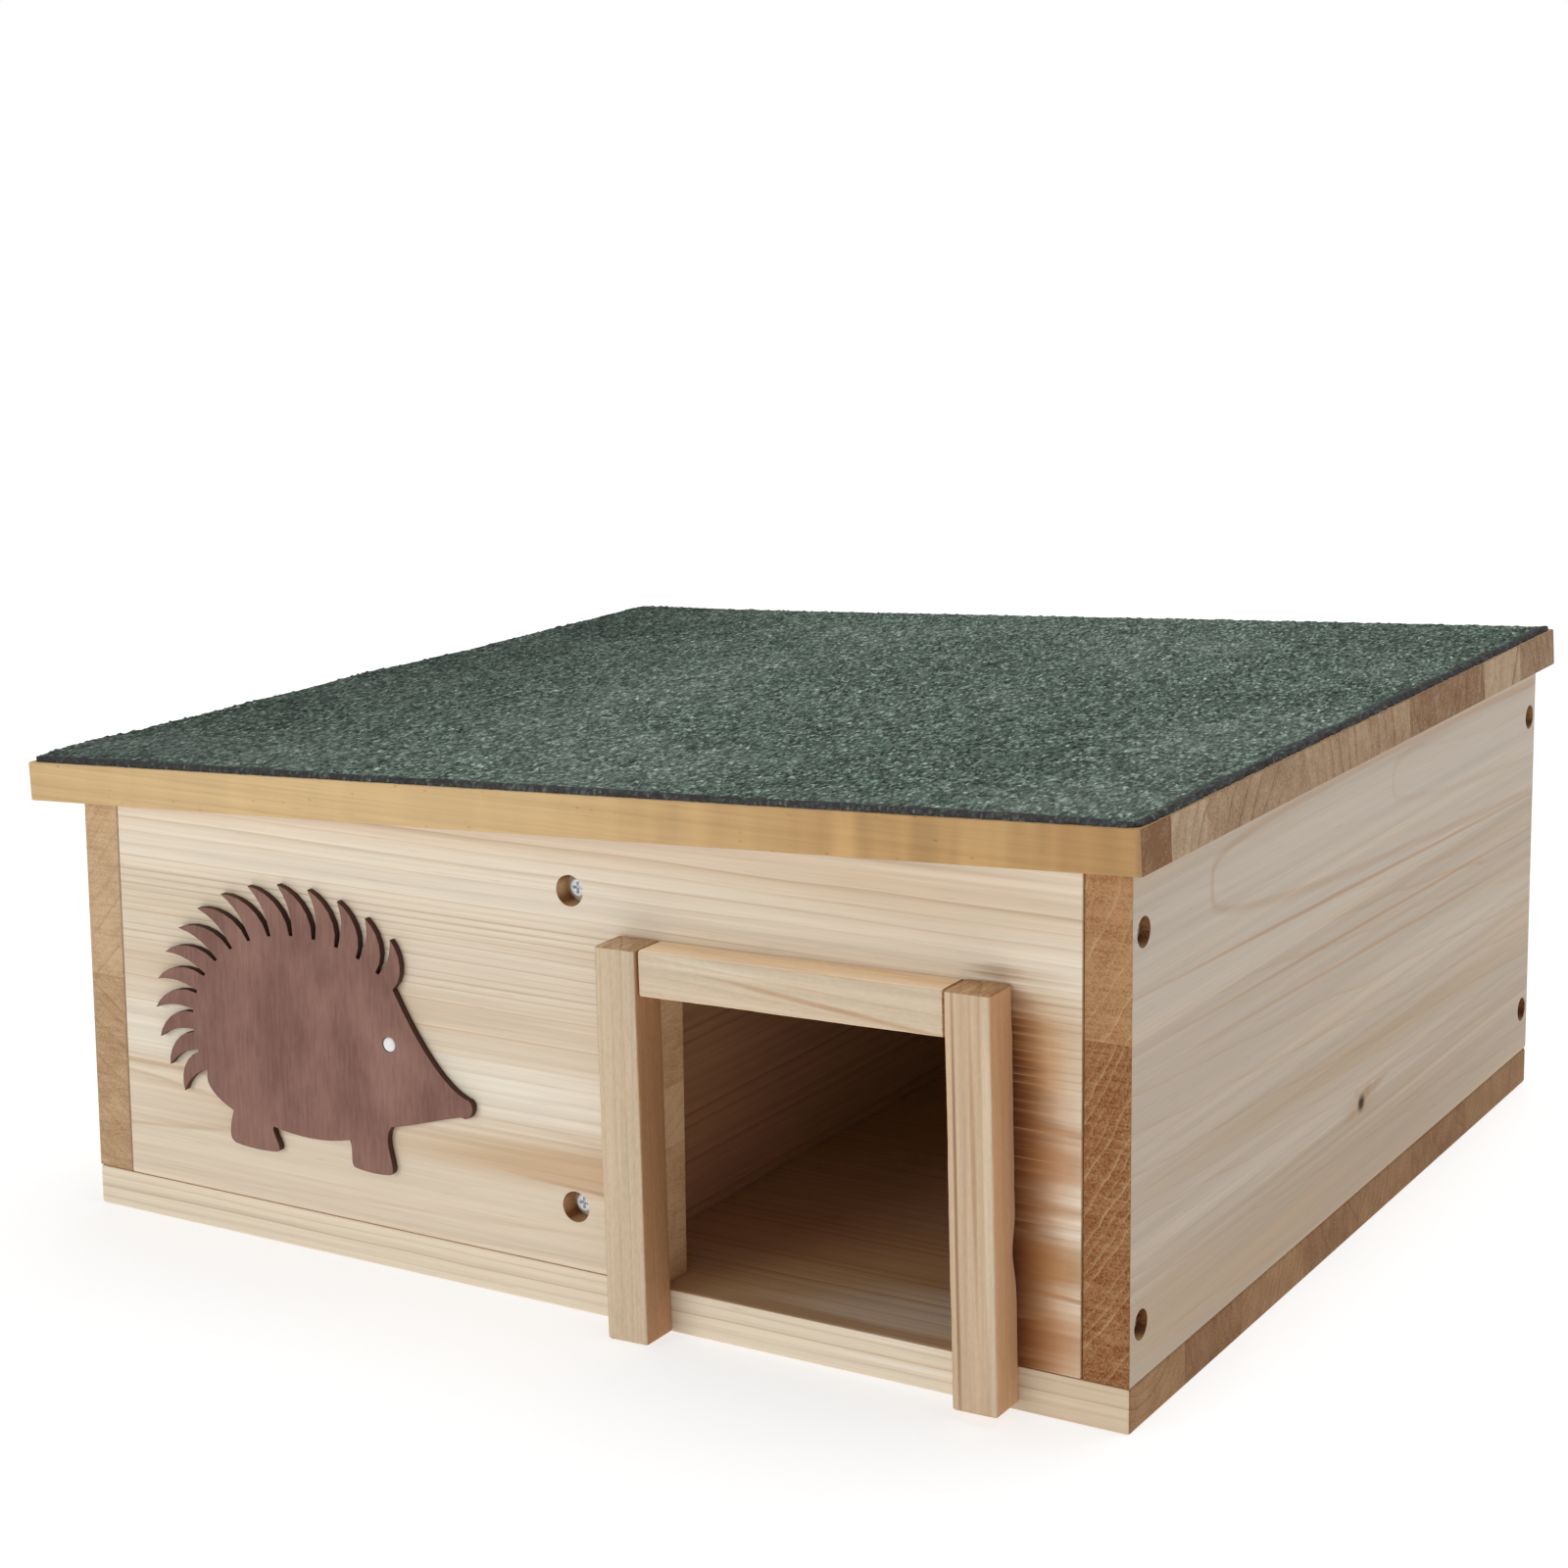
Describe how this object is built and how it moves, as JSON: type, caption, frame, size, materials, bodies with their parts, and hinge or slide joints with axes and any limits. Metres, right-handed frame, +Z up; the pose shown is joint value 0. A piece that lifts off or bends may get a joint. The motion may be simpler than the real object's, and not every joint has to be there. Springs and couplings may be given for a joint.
{
  "type": "hedgehog house",
  "caption": "Low boarded timber hedgehog shelter with a framed side doorway, an inner partition screening the nest, a hedgehog plaque and a felted roof hinged at the back.",
  "frame": {"origin": "centre of the base board's underside, on the ground", "axes": "+X to the right seen from the front, +Y from the doorway to the back, +Z up"},
  "size_m": [0.4763, 0.4539, 0.2081],
  "materials": {
    "base_wood": "planed, bare softwood",
    "wall_wood": "planed, bare softwood",
    "frame_wood": "sawn and sanded softwood",
    "roof_wood": "planed softwood",
    "green_felt": "mineral-faced bitumen felt",
    "stained_ply": "dark stained plywood",
    "white_eye": "white",
    "zinc_steel": "bright zinc"
  },
  "bodies": {
    "house": {"base_board": "base_wood", "left_wall": "wall_wood", "right_wall": "wall_wood", "front_wall": "wall_wood", "back_wall": "wall_wood", "partition": "wall_wood", "left_entrance_post": "frame_wood", "right_entrance_post": "frame_wood", "entrance_lintel": "frame_wood", "hedgehog_plaque": "stained_ply", "plaque_eye": "white_eye", "left_wall_screws": "zinc_steel", "right_wall_screws": "zinc_steel", "partition_screws": "zinc_steel", "base_screws": "zinc_steel", "post_screws": "zinc_steel", "lintel_screws": "zinc_steel", "wall_hinge_leaves": "zinc_steel", "hinge_pins": "zinc_steel", "wall_hinge_screws": "zinc_steel"},
    "roof": {"roof_board": "roof_wood", "roof_felt": "green_felt", "roof_hinge_leaves": "zinc_steel", "roof_hinge_screws": "zinc_steel"}
  },
  "joints": [
    {"name": "roof_hinge", "type": "hinge", "parent": "house", "child": "roof", "pos_m": [0.00001, 0.2189, 0.1782], "axis": [-0.9987, 0, -0.051], "range_deg": [0, 180]}
  ]
}
